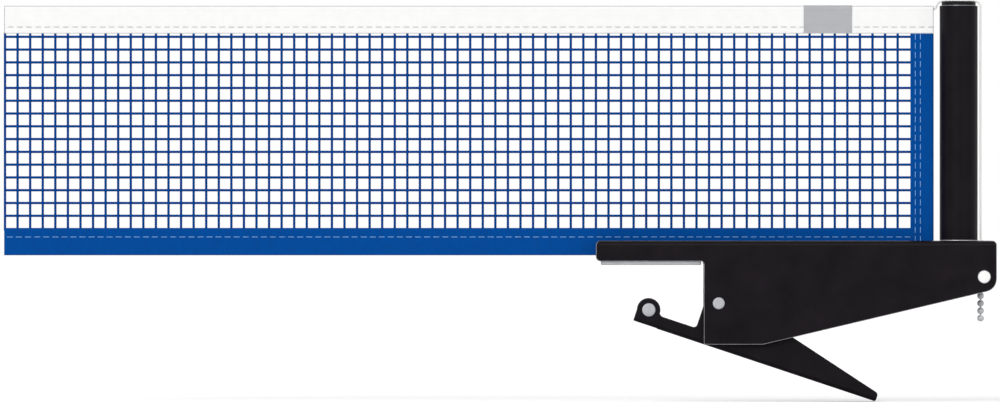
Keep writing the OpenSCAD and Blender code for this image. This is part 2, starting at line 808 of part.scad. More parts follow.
// A bush with a flange under the body's top
module cord_bush() {
    flange = 0.8;
    flange_t = 1;
    rim_h = 0.3;
    cord_play = 0.2;
    color("#d8d8d4") translate([cord_x, 0, web_z]) difference() {
        union() {
            cylinder(r = cord_bush_r, h = sheet_t + rim_h);
            translate([0, 0, -flange_t]) cylinder(r = cord_bush_r + flange, h = flange_t);
        }
        translate([0, 0, -flange_t - past])
            cylinder(r = cord_r + cord_play, h = flange_t + sheet_t + rim_h + 2*past);
    }
}

module cord_ferrule() {
    lip = 0.5;
    color("#b2b3b7") translate([chain_x, 0, ferrule_foot]) rotate_extrude() polygon([
        [0, 0], [ferrule_r - lip, 0], [ferrule_r, lip],
        [ferrule_r, ferrule_len - lip], [ferrule_r - lip, ferrule_len], [0, ferrule_len]
    ]);
}

// Beads on one link wire, from the lowest bead at z upward
module bead_string(z, count) {
    for (i = [0:count - 1]) translate([chain_x, 0, z + i*bead_pitch]) sphere(r = bead_r, $fn = 24);
    translate([chain_x, 0, z]) cylinder(r = link_r, h = (count - 1)*bead_pitch, $fn = 16);
}

module chain_upper() {
    color("#b2b3b7") difference() {
        bead_string(held_bead_z, upper_beads);
        translate([chain_x, 0, ferrule_foot]) cylinder(r = 2*bead_r, h = bead_r);
    }
}

module chain_tail() {
    top_bead = held_bead_z - bead_pitch;
    color("#b2b3b7") {
        bead_string(held_bead_z - hanging_beads*bead_pitch, hanging_beads);
        translate([chain_x, 0, top_bead])
            cylinder(r = link_r, h = bead_pitch - bead_r - seat_gap, $fn = 16);
    }
}

// A moulded block between the side walls. The chain drops through the round part
// of its keyhole and slides under the narrow part, where a bead holds it.
module catch_block() {
    w = inner_w - 2*fit_gap;
    boss_proud = 0.2;
    edge_r = 0.5;
    end_wall_t = 1.4;
    // the beads' room, and the keyhole in its floor
    room_w = 2*(bead_r + 1.2);
    key_r = bead_r + 0.3;
    key_x = chain_x + bead_r + 1.2;
    key_slot = bead_r + 0.2;
    floor_top = catch_floor_z + catch_floor_t/2;
    floor_foot = catch_floor_z - catch_floor_t/2;
    color("#f2f2f0") difference() {
        union() {
            across(-w/2, w/2) polygon(rounded([
                [catch_left_x, floor_foot, edge_r],
                [catch_right_x, floor_foot, catch_corner_r],
                [catch_right_x, catch_top_z, edge_r],
                [catch_left_x, catch_top_z, edge_r]
            ]));
            bar_across([catch_x, catch_z], catch_boss_r,
                -body_w/2 - boss_proud, body_w/2 + boss_proud);
        }
        translate([catch_left_x - past, -room_w/2, floor_top])
            cube([catch_len - end_wall_t + past, room_w, far]);
        translate([key_x, 0, catch_floor_z - past]) cylinder(r = key_r, h = 2*past);
        translate([chain_x, -key_slot/2, catch_floor_z - past])
            cube([key_x - chain_x, key_slot, 2*past]);
        translate([chain_x, 0, catch_floor_z - past]) cylinder(d = key_slot, h = 2*past);
    }
}

// ---- Net ------------------------------------------------------------------

// The tape's profile: rolled over the cord and sewn flat below
module tape_profile(grow) {
    roll = tape_roll_r + grow;
    polygon(concat(
        [[tape_t/2 + grow, tape_foot]],
        arc([0, hem_z], roll, -roll_wrap, 180 + roll_wrap, 16),
        [[-tape_t/2 - grow, tape_foot]]
    ));
}

module top_tape() {
    color("#f4f4f2") difference() {
        along(net_far_x, net_end_x) tape_profile(0);
        translate([net_far_x + hem_inset, 0, hem_z]) rotate([0, 90, 0])
            cylinder(r = cord_r + fit_gap, h = net_len + past);
    }
}

module tape_label() {
    label_end = net_end_x - label_inset;
    color("#b9babd") along(label_end - label_len, label_end) difference() {
        tape_profile(label_t + fit_gap);
        tape_profile(fit_gap);
        translate([-far/2, tape_foot - past]) square([far, past]);
    }
}

// A band folded over the net's lower edge
module low_band() {
    color("#034b95") along(net_far_x, side_band_x) polygon(rounded([
        [-band_t/2, net_rise, band_edge_r], [band_t/2, net_rise, band_edge_r],
        [band_t/2, low_band_top, 0], [-band_t/2, low_band_top, 0]
    ]));
}

// A band folded over the net's end, from the lower edge up to the tape
module side_band() {
    color("#034b95") translate([0, 0, net_rise]) linear_extrude(tape_foot - net_rise)
        polygon(rounded([
            [side_band_x, -band_t/2, 0], [net_end_x, -band_t/2, band_edge_r],
            [net_end_x, band_t/2, band_edge_r], [side_band_x, band_t/2, 0]
        ]));
}

// The mesh between the bands, as one flat plate with its cells open
module net_mesh() {
    w = side_band_x - net_far_x;
    h = tape_foot - low_band_top;
    columns = max(1, round(w/cell));
    rows = max(1, round(h/cell));
    step_x = (w - string_t)/columns;
    step_z = (h - string_t)/rows;
    color("#05468c") across(-string_t/2, string_t/2) difference() {
        translate([net_far_x, low_band_top]) square([w, h]);
        for (i = [0:columns - 1]) for (j = [0:rows - 1])
            translate([net_far_x + string_t + i*step_x, low_band_top + string_t + j*step_z])
                square([step_x - string_t, step_z - string_t]);
    }
}

clamp_body();
jaw_plate();
jaw_pad();
lever();
pivot_pin();
pivot_washers();
spring_bush();
torsion_spring();
roller_axle();
roller_core();
roller_tyre();
post_tube();
post_washer();
post_spigot();
inner_post();
post_cap();
post_nut();
height_screw();
height_knob();
cord_bush();
catch_block();
cord_ferrule();
chain_upper();
chain_tail();
hem_cord();
cord_over_cap();
cord_drop();
net_mesh();
top_tape();
low_band();
side_band();
tape_label();
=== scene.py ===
"""Looks for the table tennis net clamp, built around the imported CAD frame.

Lengths are in metres, in the row frame: X runs along the net, Y across the
clamp and Z up, with the origin in the middle of the jaw pad's face.
"""

import itertools
import json
import math

import bmesh
import bpy
import numpy as np
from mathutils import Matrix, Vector
from mathutils.bvhtree import BVHTree


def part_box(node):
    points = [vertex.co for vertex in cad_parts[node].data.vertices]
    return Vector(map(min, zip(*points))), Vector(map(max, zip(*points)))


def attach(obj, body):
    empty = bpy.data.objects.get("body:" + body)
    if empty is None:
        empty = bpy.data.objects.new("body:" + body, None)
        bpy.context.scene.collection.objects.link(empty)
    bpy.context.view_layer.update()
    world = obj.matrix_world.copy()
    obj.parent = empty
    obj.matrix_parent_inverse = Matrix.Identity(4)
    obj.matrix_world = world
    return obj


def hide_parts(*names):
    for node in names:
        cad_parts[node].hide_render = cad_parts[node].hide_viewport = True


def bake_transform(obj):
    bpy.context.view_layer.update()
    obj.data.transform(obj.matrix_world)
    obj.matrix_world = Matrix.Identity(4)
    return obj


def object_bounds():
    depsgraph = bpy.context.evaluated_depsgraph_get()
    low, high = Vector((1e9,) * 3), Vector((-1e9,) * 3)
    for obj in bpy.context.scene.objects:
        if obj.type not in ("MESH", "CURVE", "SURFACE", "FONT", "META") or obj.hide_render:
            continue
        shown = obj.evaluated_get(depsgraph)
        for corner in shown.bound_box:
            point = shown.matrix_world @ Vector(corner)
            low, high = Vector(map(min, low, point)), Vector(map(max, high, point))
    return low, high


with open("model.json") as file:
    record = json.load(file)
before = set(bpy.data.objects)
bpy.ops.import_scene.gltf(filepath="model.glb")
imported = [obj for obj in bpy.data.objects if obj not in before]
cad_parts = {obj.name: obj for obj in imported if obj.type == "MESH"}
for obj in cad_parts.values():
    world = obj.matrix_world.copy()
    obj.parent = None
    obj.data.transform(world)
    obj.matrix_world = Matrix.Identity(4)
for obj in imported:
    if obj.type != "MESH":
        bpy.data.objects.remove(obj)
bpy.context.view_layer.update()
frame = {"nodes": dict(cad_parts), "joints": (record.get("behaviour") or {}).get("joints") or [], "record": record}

MM = 0.001
SEAT_GAP = 0.1 * MM  # between pieces that lie against each other
X, Y, Z = np.eye(3)

# ---- Camera ---------------------------------------------------------------
# The camera looks along +Y from far away, so that the view is almost flat.
PHOTO_W, PHOTO_H = 1000, 402
PX = 0.588 * MM  # one pixel of the photograph at the net's plane
ORIGIN_PX = (651.05, 265.0)  # the row frame's origin in the photograph
LENS_MM, SENSOR_MM = 690.0, 36.0
SCALE_Y = -10 * MM  # the plane in which one pixel is PX wide, between net and body side


def px_x(x):
    """The X of a pixel column of the photograph."""
    return (x - ORIGIN_PX[0]) * PX


def px_z(y):
    """The Z of a pixel row of the photograph."""
    return (ORIGIN_PX[1] - y) * PX


def make_camera():
    """A far camera with a long lens, aimed at the photograph's middle."""
    data = bpy.data.cameras.new("camera")
    data.lens, data.sensor_width = LENS_MM, SENSOR_MM
    data.clip_start, data.clip_end = 0.1, 100.0
    camera = bpy.data.objects.new("camera", data)
    distance = PHOTO_W * PX * LENS_MM / SENSOR_MM
    camera.location = (px_x(PHOTO_W / 2), SCALE_Y - distance, px_z(PHOTO_H / 2))
    camera.rotation_euler = (math.pi / 2, 0, 0)
    bpy.context.scene.collection.objects.link(camera)
    bpy.context.scene.camera = camera


make_camera()

# ---- Materials ------------------------------------------------------------


def srgb(*values):
    """An sRGB colour from 0 to 255 as a linear colour with alpha."""
    shares = [v / 255 for v in values]
    linear = [s / 12.92 if s <= 0.04045 else ((s + 0.055) / 1.055) ** 2.4 for s in shares]
    return (*linear, 1.0)


def scaled(colour, factor):
    """The colour made darker or lighter by a factor."""
    return (*(min(1.0, c * factor) for c in colour[:3]), 1.0)


BLACK = srgb(19, 15, 20)
# grey of the painted highlight line along the clamp body's edges
HIGHLIGHT_GREY = srgb(150, 149, 153)
LIGHT_GREY = srgb(178, 179, 183)
BAND_BLUE = srgb(0, 72, 149)
STRING_BLUE = srgb(0, 62, 138)
TAPE_WHITE = srgb(246, 246, 245)
THREAD_BLUE = srgb(136, 184, 240)


class Nodes:
    """A short way to write the node tree of one material."""

    def __init__(self, name):
        self.material = bpy.data.materials.new(name)
        self.material.use_nodes = True
        self.tree = self.material.node_tree
        self.shader = self.tree.nodes["Principled BSDF"]

    def add(self, kind, inputs=None, **settings):
        node = self.tree.nodes.new(kind)
        for key, value in settings.items():
            setattr(node, key, value)
        for key, value in (inputs or {}).items():
            self.set(node, key, value)
        return node

    def set(self, node, key, value):
        if isinstance(value, bpy.types.NodeSocket):
            self.tree.links.new(value, node.inputs[key])
        else:
            node.inputs[key].default_value = value

    def surface(self, **values):
        """Sets the shader's inputs, with _ for the blanks in their names."""
        for key, value in values.items():
            self.set(self.shader, key.replace("_", " "), value)

    def place(self, uv=False):
        """The place on the piece, in its own metres or along its UV."""
        coordinates = self.add("ShaderNodeTexCoord")
        return coordinates.outputs["UV" if uv else "Object"]

    def noise(self, size, detail):
        """Noise whose largest features are about size across."""
        node = self.add(
            "ShaderNodeTexNoise",
            {"Vector": self.place(), "Scale": 1 / size, "Detail": detail, "Roughness": 0.55},
        )
        return node.outputs["Fac"]

    def wave(self, pitch, where, direction, distortion):
        """Bands that repeat every pitch along one axis: every 2 pi / 20 at scale 1."""
        node = self.add(
            "ShaderNodeTexWave",
            {
                "Vector": where,
                "Scale": 2 * math.pi / 20 / pitch,
                "Distortion": distortion,
                "Detail": 0.0,
            },
            wave_type="BANDS",
            bands_direction=direction,
            wave_profile="SIN",
        )
        return node.outputs["Fac"]

    def math(self, operation, a, b=0.0):
        node = self.add("ShaderNodeMath", operation=operation)
        self.set(node, 0, a)
        self.set(node, 1, b)
        return node.outputs[0]

    def blend(self, a, share, b):
        """A share of a and the rest of b."""
        return self.math(
            "ADD", self.math("MULTIPLY", a, share), self.math("MULTIPLY", b, 1 - share)
        )

    def ramp(self, fac, low, high, start=0.3, end=0.7):
        """A colour from low to high as fac goes from start to end."""
        node = self.add("ShaderNodeValToRGB", {"Fac": fac})
        first, last = node.color_ramp.elements
        first.position, first.color = start, low
        last.position, last.color = end, high
        return node.outputs["Color"]

    def uneven(self, fac, colour, spread, start=0.3, end=0.7):
        """A colour that goes from darker to lighter, each by a share of spread."""
        return self.ramp(fac, scaled(colour, 1 - spread), scaled(colour, 1 + spread), start, end)

    def span(self, fac, low, high, start=0.3, end=0.7):
        """A number from low to high as fac goes from start to end."""
        node = self.add(
            "ShaderNodeMapRange",
            {"Value": fac, "From Min": start, "From Max": end, "To Min": low, "To Max": high},
        )
        return node.outputs["Result"]

    def bump(self, height, depth, strength, below=None):
        """A bumped normal, on top of the one below."""
        inputs = {"Height": height, "Distance": depth, "Strength": strength}
        if below is not None:
            inputs["Normal"] = below
        return self.add("ShaderNodeBump", inputs).outputs["Normal"]


def powder_coat():
    """Black powder coat: fine orange peel, faint dust and satin gloss."""
    nodes = Nodes("powder_coat")
    cloud = nodes.noise(14 * MM, 4.0)
    peel = nodes.noise(0.55 * MM, 2.0)
    speck = nodes.noise(0.16 * MM, 1.0)
    nodes.surface(
        Base_Color=nodes.uneven(cloud, BLACK, 0.3),
        Roughness=nodes.span(cloud, 0.34, 0.46),
        Specular_IOR_Level=0.08,
        Normal=nodes.bump(peel, 0.03 * MM, 0.55, nodes.bump(speck, 0.008 * MM, 0.5)),
    )
    return nodes.material


def painted_edge_highlight():
    """A painted highlight: a grey line on the rounded edges, for the light they catch."""
    nodes = Nodes("powder_coat_painted_highlight")
    highlight_tone = nodes.noise(2.2 * MM, 3.0)
    nodes.surface(
        Base_Color=nodes.ramp(highlight_tone, scaled(HIGHLIGHT_GREY, 0.7), scaled(HIGHLIGHT_GREY, 1.15), 0.35, 0.65),
        Roughness=nodes.span(highlight_tone, 0.3, 0.42),
        Specular_IOR_Level=0.4,
    )
    return nodes.material


def plated(name="steel", colour=LIGHT_GREY, grain=0.25, rough=(0.34, 0.44), metallic=0.7):
    """Plated or bare metal: satin, with a faint grain and cloudy gloss."""
    nodes = Nodes(name)
    cloud = nodes.noise(3.5 * MM, 4.0)
    scratch = nodes.noise(grain * MM, 3.0)
    nodes.surface(
        Base_Color=nodes.ramp(cloud, scaled(colour, 0.9), scaled(colour, 1.08)),
        Metallic=metallic,
        Roughness=nodes.span(cloud, *rough),
        Normal=nodes.bump(scratch, 0.012 * MM, 0.5),
    )
    return nodes.material


def moulded(name, colour, rough=(0.38, 0.5), grain=0.35, spread=0.12, specular=0.35):
    """Moulded plastic: fine spark texture and a slightly uneven gloss."""
    nodes = Nodes(name)
    cloud = nodes.noise(9 * MM, 3.0)
    spark = nodes.noise(grain * MM, 2.0)
    nodes.surface(
        Base_Color=nodes.uneven(cloud, colour, spread),
        Roughness=nodes.span(cloud, *rough),
        Specular_IOR_Level=specular,
        Normal=nodes.bump(spark, 0.02 * MM, 0.4),
    )
    return nodes.material


def rubber(name, colour):
    """Matte rubber: cellular grain and powdery patches."""
    nodes = Nodes(name)
    cloud = nodes.noise(6 * MM, 5.0)
    cell = nodes.add("ShaderNodeTexVoronoi", {"Vector": nodes.place(), "Scale": 1 / (0.45 * MM)})
    nodes.surface(
        Base_Color=nodes.uneven(cloud, colour, 0.1),
        Roughness=nodes.span(cloud, 0.7, 0.85),
        Specular_IOR_Level=0.2,
        Normal=nodes.bump(cell.outputs["Distance"], 0.05 * MM, 0.5),
    )
    return nodes.material


def woven(name, colour, sheen, thread=0.42, spread=0.14, depth=0.06):
    """Plain woven cloth: warp and weft threads, soft fuzz, uneven dye and painted shade in the weave's hollows."""
    nodes = Nodes(name)
    where = nodes.place()
    warp = nodes.wave(thread * MM, where, "X", 0.6)
    weft = nodes.wave(thread * MM, where, "Z", 0.6)
    weave = nodes.math("MULTIPLY", warp, weft)
    cloud = nodes.noise(5 * MM, 5.0)
    lint = nodes.noise(0.12 * MM, 2.0)
    # the colour: painted shade where the weave dips, mixed with uneven dye
    shade = nodes.blend(weave, 0.45, cloud)
    nodes.surface(
        Base_Color=nodes.uneven(shade, colour, spread, 0.2, 0.62),
        Roughness=nodes.span(cloud, 0.78, 0.92),
        Specular_IOR_Level=0.06,
        Sheen_Weight=sheen,
        Sheen_Roughness=0.5,
        Normal=nodes.bump(weave, depth * MM, 0.6, nodes.bump(lint, 0.02 * MM, 0.4)),
    )
    return nodes.material


def twisted(name, colour, plies=2, spread=0.28, specular=0.1):
    """A laid cord: its UV runs once round it and once for each turn of the lay."""
    nodes = Nodes(name)
    uv = nodes.place(uv=True)
    split = nodes.add("ShaderNodeSeparateXYZ", {"Vector": uv})
    around = nodes.math("MULTIPLY", split.outputs["X"], float(plies))
    phase = nodes.math("ADD", around, split.outputs["Y"])
    lay = nodes.math("SINE", nodes.math("MULTIPLY", phase, 2 * math.pi))
    fibre = nodes.noise(0.2 * MM, 2.0)
    ridge = nodes.span(lay, 0.0, 1.0, -1.0, 1.0)
    # the colour is painted shade in the lay's grooves, mixed with random fibre tone; spread sets its depth
    shade = nodes.blend(ridge, 0.6, fibre)
    nodes.surface(
        Base_Color=nodes.uneven(shade, colour, spread, 0.25, 0.7),
        Roughness=nodes.span(fibre, 0.55, 0.7),
        Specular_IOR_Level=specular,
        Normal=nodes.bump(ridge, 0.12 * MM, 0.6, nodes.bump(fibre, 0.02 * MM, 0.5)),
    )
    return nodes.material


LOOKS = {
    "powder_coat": powder_coat(),
    # the edge look is a painted highlight: grey lines on the black edges
    "edge": painted_edge_highlight(),
    "steel": plated(),
    "spring_steel": plated("spring_steel", srgb(150, 152, 158), 0.2, (0.22, 0.34), 1.0),
    "dark_steel": plated("dark_steel", srgb(74, 72, 76), 0.3, (0.35, 0.5)),
    "beads": plated("bead_nickel", srgb(200, 201, 204), 0.2, (0.42, 0.52), 0.2),
    "rivet": plated("rivet_zinc", srgb(176, 177, 181), 0.3, (0.5, 0.62), 0.3),
    "washer": plated("washer_zinc", srgb(222, 222, 224), 0.25, (0.3, 0.4), 0.5),
    "aluminium": plated("aluminium", srgb(132, 133, 138), 0.3, (0.4, 0.5), 0.6),
    "brass": plated("brass", srgb(202, 176, 104), 0.3, (0.25, 0.38), 1.0),
    "grey_rubber": rubber("grey_rubber", LIGHT_GREY),
    "black_rubber": rubber("black_rubber", srgb(30, 27, 31)),
    "black_plastic": moulded("black_plastic", BLACK, (0.36, 0.46), 0.3, 0.3, 0.14),
    "white_plastic": moulded("white_plastic", srgb(240, 240, 238), (0.35, 0.45)),
    "blue_fabric": woven("blue_fabric", BAND_BLUE, 0.0),
    "blue_string": twisted("blue_string", STRING_BLUE, specular=0.04),
    "white_fabric": woven("white_fabric", TAPE_WHITE, 0.05, 0.38, 0.035, 0.05),
    # the tape's second look is painted shade: a grey line on its fold, foot and ends
    "tape_painted_shade": woven("tape_painted_shade", srgb(184, 185, 189), 0.05, 0.38, 0.05, 0.05),
    "grey_fabric": woven("grey_fabric", LIGHT_GREY, 0.1, 0.26, 0.07, 0.03),
    "blue_thread": twisted("blue_thread", THREAD_BLUE, 2, 0.1),
    "white_thread": twisted("white_thread", srgb(190, 190, 193), 2, 0.08),
    "cord": twisted("cord", srgb(242, 242, 240), 1, 0.05),
}

# ---- Meshes ---------------------------------------------------------------

POLE_R = 0.01 * MM  # how near a turned profile comes to its axis


def unit(vectors):
    return vectors / np.linalg.norm(vectors, axis=-1, keepdims=True)


def across(path, up):
    """Two directions across a path at each of its points, and the length up to each."""
    ahead = unit(np.gradient(path, axis=0))
    side = unit(np.cross(ahead, up))
    steps = np.linalg.norm(np.diff(path, axis=0), axis=1)
    return side, np.cross(side, ahead), np.concatenate([[0], np.cumsum(steps)])


class Shape:
    """Collects the points, faces and UVs of one piece."""

    def __init__(self):
        self.points, self.faces, self.uvs, self.slots = [], [], [], []
        self.count = 0

    def rings(self, rings, along=None, closed=True, caps=True):
        """Joins rings of points, given as an array of (ring, point, xyz)."""
        rings = np.asarray(rings, float)
        count, size = rings.shape[:2]
        along = np.linspace(0, 1, count) if along is None else along
        start = self.count
        self.points.append(rings.reshape(-1, 3))
        self.count += count * size
        for i in range(count - 1):
            v0, v1 = along[i], along[i + 1]
            for k in range(size if closed else size - 1):
                a, b = start + i * size + k, start + i * size + (k + 1) % size
                u0, u1 = k / size, (k + 1) / size
                self.add_face((a, b, b + size, a + size), [(u0, v0), (u1, v0), (u1, v1), (u0, v1)])
        if caps and closed:
            for ring, turn, v in ((0, -1, along[0]), (count - 1, 1, along[-1])):
                face = [start + ring * size + k for k in range(size)][::turn]
                self.add_face(face, [(0.5, v)] * size)
        return self

    def add_face(self, face, uvs):
        self.faces.append(tuple(face))
        self.uvs += uvs
        self.slots.append(0)

    def tube(self, path, radius, sides, up, lay=1.0):
        """A tube along a path. up is never along the path. lay is one turn's length."""
        path = np.asarray(path, float)
        side, out, length = across(path, up)
        angles = 2 * math.pi * np.arange(sides) / sides
        circle = side[:, None] * np.cos(angles)[None, :, None]
        circle = circle + out[:, None] * np.sin(angles)[None, :, None]
        return self.rings(path[:, None] + radius * circle, length / lay)

    def lathe(self, profile, centre, axis, sides):
        """Turns a profile of (radius, place along the axis) about Y or Z."""
        side = unit(np.cross(axis, X))
        out = np.cross(axis, side)
        angles = 2 * math.pi * np.arange(sides) / sides
        circle = side * np.cos(angles)[:, None] + out * np.sin(angles)[:, None]
        return self.rings([np.asarray(centre) + axis * a + circle * r for r, a in profile])

    def object(self, name, materials, smooth_angle=40.0):
        """The finished piece. A list holds one material for each slot of the faces."""
        mesh = bpy.data.meshes.new(name)
        mesh.from_pydata(np.concatenate(self.points).tolist(), [], self.faces)
        layer = mesh.uv_layers.new(name="UVMap")
        layer.data.foreach_set("uv", np.asarray(self.uvs, np.float32).ravel())
        for material in materials if isinstance(materials, list) else [materials]:
            mesh.materials.append(material)
        mesh.polygons.foreach_set("material_index", self.slots)
        made = bpy.data.objects.new(name, mesh)
        bpy.context.scene.collection.objects.link(made)
        return finish_mesh(made, smooth_angle)


def finish_mesh(piece, smooth_angle):
    """Turns the faces outward and keeps only edges over the angle sharp."""
    shell = bmesh.new()
    shell.from_mesh(piece.data)
    bmesh.ops.recalc_face_normals(shell, faces=shell.faces)
    shell.to_mesh(piece.data)
    shell.free()
    piece.data.shade_smooth()
    piece.data.set_sharp_from_angle(angle=math.radians(smooth_angle))
    return piece


def applied(piece):
    """Replaces the piece's mesh by what its modifiers make of it."""
    graph = bpy.context.evaluated_depsgraph_get()
    mesh = bpy.data.meshes.new_from_object(piece.evaluated_get(graph))
    piece.modifiers.clear()
    piece.data = mesh
    return piece


def area_normals(mesh, spread=35.0):
    """Weights the corner normals by area, so that large flat faces stay flat."""
    limit = math.cos(math.radians(spread))
    normals = np.array([p.normal[:] for p in mesh.polygons])
    weighted = normals * np.array([p.area**2 for p in mesh.polygons])[:, None]
    around = [[] for _ in mesh.vertices]
    for face in mesh.polygons:
        for vertex in face.vertices:
            around[vertex].append(face.index)
    corners = []
    for face in mesh.polygons:
        for vertex in face.vertices:
            near = [f for f in around[vertex] if normals[f] @ normals[face.index] > limit]
            # the tiny share gives a direction where all the faces near are without area
            corners.append(unit(weighted[near].sum(axis=0) + 1e-18 * normals[face.index]))
    mesh.normals_split_custom_set(corners)


def drawn_in(piece, shell, limit):
    """Moves points that stand further than the limit from a shell back onto it."""
    corners = [v.co for v in shell.vertices]
    tree = BVHTree.FromPolygons(corners, [p.vertices[:] for p in shell.polygons])
    for vertex in piece.data.vertices:
        near, _, _, distance = tree.find_nearest(vertex.co)
        if distance > limit:
            vertex.co = near


def edge_broken(node, material, edge, width, angle=32.0, segments=2):
    """A copy of a CAD node's shape with its sharp edges rounded by a small width."""
    piece = bpy.data.objects.new(node + "_finish", frame["nodes"][node].data.copy())
    bpy.context.scene.collection.objects.link(piece)
    shell = bmesh.new()
    shell.from_mesh(piece.data)
    bmesh.ops.remove_doubles(shell, verts=shell.verts, dist=0.05 * MM)
    bmesh.ops.dissolve_limit(
        shell, angle_limit=math.radians(0.5), verts=shell.verts, edges=shell.edges
    )
    shell.to_mesh(piece.data)
    shell.free()
    piece.data.materials.clear()
    # the second look covers the rounded edges; on the clamp body it is a painted highlight
    for look in (material, edge or material):
        piece.data.materials.append(look)
    bevel = piece.modifiers.new("edges", "BEVEL")
    bevel.width, bevel.segments = width * MM, segments
    bevel.limit_method, bevel.angle_limit = "ANGLE", math.radians(angle)
    bevel.use_clamp_overlap, bevel.loop_slide, bevel.material = False, False, 1
    applied(piece).data.shade_smooth()
    drawn_in(piece, frame["nodes"][node].data, 0.6 * width * MM)
    area_normals(piece.data)
    split = piece.modifiers.new("triangles", "TRIANGULATE")
    split.min_vertices, split.ngon_method = 5, "BEAUTY"
    split.keep_custom_normals = True
    return applied(piece)


def riding(piece, body, slot, *nodes):
    """The piece rides on a body and may stand for CAD nodes, which it hides. slot is not used."""
    if nodes:
        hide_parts(*nodes)
    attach(piece, body)


# ---- Pieces that keep the CAD's shape -------------------------------------

BODY_OF = {
    node: body
    for body, nodes in frame["record"]["behaviour"]["bodies"].items()
    for node in nodes
}
# Each CAD node whose outline is right: slot, look, painted-highlight look for the edges, edge width in mm.
FINISHED = {
    "clamp_body": ("powder_coat", "powder_coat", "edge", 0.3),
    "lever": ("powder_coat", "powder_coat", None, 0.2),
    "jaw_plate": ("steel", "dark_steel", None, 0.2),
    "pivot_washers": ("steel", "washer", None, 0.2),
    "spring_bush": ("white_plastic", "white_plastic", None, 0.4),
    "roller_core": ("white_plastic", "white_plastic", None, 0.4),
    "post_tube": ("powder_coat", "powder_coat", None, 0.25),
    "post_washer": ("steel", "washer", None, 0.1),
    "post_cap": ("black_plastic", "black_plastic", None, 0.12),
    "post_spigot": ("steel", "steel", None, 0.15),
    "inner_post": ("aluminium", "aluminium", None, 0.3),
    "post_nut": ("brass", "brass", None, 0.4),
    "height_knob": ("black_plastic", "black_plastic", None, 0.35),
    "cord_bush": ("white_plastic", "white_plastic", None, 0.12),
    "catch_block": ("white_plastic", "white_plastic", None, 0.2),
}
for node, (slot, look, edge, width) in FINISHED.items():
    made = edge_broken(node, LOOKS[look], edge and LOOKS[edge], width)
    riding(made, BODY_OF[node], slot, node)

# ---- Pins -----------------------------------------------------------------


def rivet_profile(low, high, pin_r, head_r, head_h):
    """A pin from low to high with a flat and rounded head on each end."""
    dome = [(1.0, 0.0), (1.0, 0.5), (0.985, 0.7), (0.945, 0.86), (0.88, 0.96), (0.8, 1.0)]
    dome += [(0.4, 1.0), (0.01, 1.0)]
    top = [(head_r * r, high - head_h + head_h * a) for r, a in dome]
    foot = [(head_r * r, low + head_h - head_h * a) for r, a in dome][::-1]
    return foot + [(pin_r, low + head_h), (pin_r, high - head_h)] + top


def pin(name, node, pin_r, head_r, head_h):
    """A riveted pin across the clamp, with its sizes in mm."""
    low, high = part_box(node)
    middle = (low + high) / 2
    shape = Shape().lathe(
        rivet_profile(low.y, high.y, pin_r * MM, head_r * MM, head_h * MM),
        (middle.x, 0, middle.z),
        Y,
        64,
    )
    riding(shape.object(name, LOOKS["rivet"], 45), BODY_OF[node], "steel", node)


pin("pivot_rivet", "pivot_pin", pin_r=2.5, head_r=3.5, head_h=0.9)
pin("roller_rivet", "roller_axle", pin_r=2.6, head_r=3.9, head_h=0.9)

# ---- Height screw ---------------------------------------------------------

THREAD_PITCH, THREAD_DEPTH = 1.0 * MM, 0.55 * MM
THREAD_SIDES = 24


def make_screw():
    """The height screw: a plain shank with a collar, and a thread above it."""
    low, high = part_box("height_screw")
    screw_r, collar_r, collar_t = 3.0 * MM, (high.x - low.x) / 2, 3.0 * MM
    collar_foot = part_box("post_spigot")[1].z + SEAT_GAP
    thread_foot = collar_foot + collar_t + 0.8 * MM
    edge = 0.3 * MM
    shank = [
        (POLE_R, low.z),
        (screw_r - edge, low.z),
        (screw_r, low.z + edge),
        (screw_r, collar_foot),
        (collar_r - edge, collar_foot),
        (collar_r, collar_foot + edge),
        (collar_r, collar_foot + collar_t - edge),
        (collar_r - edge, collar_foot + collar_t),
        (screw_r, collar_foot + collar_t),
        (screw_r, thread_foot),
    ]
    middle = (low + high) / 2
    shape = Shape().lathe(shank, (middle.x, 0, 0), Z, 40)
    turns = np.linspace(0, 1, THREAD_SIDES, endpoint=False)
    rings = []
    for z in np.arange(thread_foot - 0.2 * MM, high.z, THREAD_PITCH / 6):
        fade = min(1.0, (z - thread_foot) / THREAD_PITCH) if z > thread_foot else 0.0
        ridge = np.abs(((z / THREAD_PITCH - turns) % 1.0) * 2 - 1)
        r = screw_r - fade * THREAD_DEPTH * ridge
        angle = 2 * math.pi * turns
        ring = [middle.x + r * np.cos(angle), r * np.sin(angle), np.full(THREAD_SIDES, z)]
        rings.append(np.column_stack(ring))
    shape.rings(rings)
    screw = shape.object("threaded_screw", LOOKS["steel"], 50)
    riding(screw, "height_screw", "steel", "height_screw")


make_screw()

# ---- Roller and jaw pad ---------------------------------------------------


def make_tyre():
    """The rubber tyre, with fine grooves round it."""
    low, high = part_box("roller_tyre")
    middle = (low + high) / 2
    outer, inner = (high.z - low.z) / 2, 4.43 * MM
    chamfer, half = 0.8 * MM, (high.y - low.y) / 2
    groove, step, mouth_half, floor_half = 0.3 * MM, 2.2 * MM, 0.4 * MM, 0.2 * MM
    profile = [(inner, -half), (outer - chamfer, -half), (outer, -half + chamfer)]
    count = int((2 * half - 2 * chamfer) / step)
    first = -count * step / 2 + step / 2
    for i in range(count):
        at = first + i * step
        profile += [
            (outer, at - mouth_half),
            (outer - groove, at - floor_half),
            (outer - groove, at + floor_half),
            (outer, at + mouth_half),
        ]
    profile += [(outer, half - chamfer), (outer - chamfer, half), (inner, half)]
    profile.append((inner, -half))
    sides = 64
    shape = Shape().lathe(profile, middle[:], Y, sides)
    # the lathe's two end caps come off, since the profile closes on itself
    shape.faces, shape.uvs = shape.faces[:-2], shape.uvs[: -2 * sides]
    shape.slots = shape.slots[:-2]
    tyre = shape.object("ribbed_tyre", LOOKS["black_rubber"], 50)
    riding(tyre, "roller", "black_rubber", "roller_tyre")


